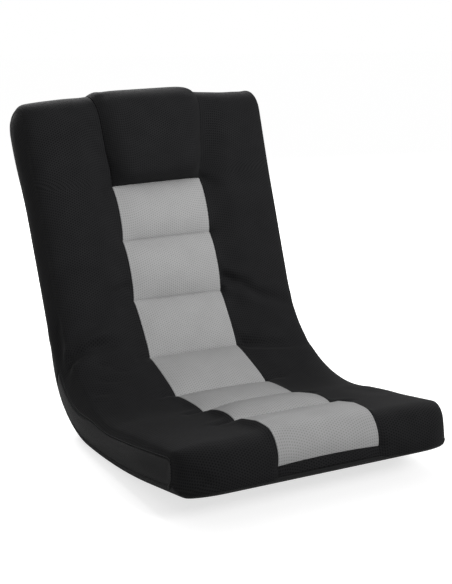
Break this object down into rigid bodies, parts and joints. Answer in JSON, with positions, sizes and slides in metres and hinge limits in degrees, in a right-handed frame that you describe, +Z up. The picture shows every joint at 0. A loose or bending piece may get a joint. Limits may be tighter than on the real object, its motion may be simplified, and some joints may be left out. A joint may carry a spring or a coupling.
{
  "type": "rocking floor chair with reclining back",
  "caption": "Legless padded floor chair with a curved rocker base, ribbed centre panel, side bolsters, a headrest roll and a back that folds and reclines on hidden ratchet hinges.",
  "frame": {"origin": "on the floor at the middle of the flat patch of the rocker base, on the chair's mid plane", "axes": "+Z up, the sitter looks along -Y, +X to the sitter's left"},
  "size_m": [0.51, 0.8292, 0.6255],
  "materials": {
    "black_mesh": "black polyester air mesh over foam, matt",
    "grey_mesh": "grey polyester air mesh over foam, matt",
    "base_cloth": "black woven base cloth over thin foam",
    "foam": "cut foam",
    "webbing": "elastic webbing",
    "plywood": "bent plywood",
    "frame_steel": "black powder coat",
    "hinge_steel": "zinc plated",
    "spring_steel": "blued spring steel"
  },
  "bodies": {
    "seat_base": {"seat_frame": "frame_steel", "seat_cross_tubes": "frame_steel", "rocker_rails": "frame_steel", "seat_board": "plywood", "base_pads": "foam", "hinge_cheeks": "hinge_steel", "hinge_rivets": "hinge_steel", "pawl_pins": "hinge_steel", "pawl_springs": "spring_steel", "seat_foam": "foam", "left_seat_bolster": "black_mesh", "right_seat_bolster": "black_mesh", "seat_center_panel": "grey_mesh", "front_band": "black_mesh", "left_side_band": "black_mesh", "right_side_band": "black_mesh", "base_cover": "base_cloth", "bend_foam": "foam", "left_bend_bolster": "black_mesh", "right_bend_bolster": "black_mesh", "bend_center_panel": "grey_mesh", "left_bend_side_band": "black_mesh", "right_bend_side_band": "black_mesh", "heel_cover": "base_cloth"},
    "backrest": {"back_frame": "frame_steel", "back_cross_tubes": "frame_steel", "back_webbing": "webbing", "ratchet_plates": "hinge_steel", "back_foam": "foam", "left_back_bolster": "black_mesh", "right_back_bolster": "black_mesh", "back_center_panel": "grey_mesh", "headrest_pad": "black_mesh", "back_rear_cover": "base_cloth"},
    "left_pawl": {"left_pawl": "hinge_steel"},
    "right_pawl": {"right_pawl": "hinge_steel"}
  },
  "joints": [
    {"name": "back_recline", "type": "hinge", "parent": "seat_base", "child": "backrest", "pos_m": [0, 0.10703, 0.07958], "axis": [-1, 0, 0], "range_deg": [-30, 60], "deforming": ["bend_foam", "left_bend_bolster", "right_bend_bolster", "bend_center_panel", "left_bend_side_band", "right_bend_side_band", "heel_cover"]},
    {"name": "left_pawl_lift", "type": "hinge", "parent": "seat_base", "child": "left_pawl", "pos_m": [0.2, 0.08306, 0.1044], "axis": [-1, 0, 0], "range_deg": [0, 10], "stiffness_Nm_per_rad": 0.3, "springref_deg": -5.73, "deforming": ["pawl_springs"]},
    {"name": "right_pawl_lift", "type": "hinge", "parent": "seat_base", "child": "right_pawl", "pos_m": [-0.2, 0.08306, 0.1044], "axis": [-1, 0, 0], "range_deg": [0, 10], "stiffness_Nm_per_rad": 0.3, "springref_deg": -5.73, "deforming": ["pawl_springs"]}
  ],
  "couplings": [
    {"joint": "right_pawl_lift", "follows": "left_pawl_lift", "ratio": 1}
  ]
}
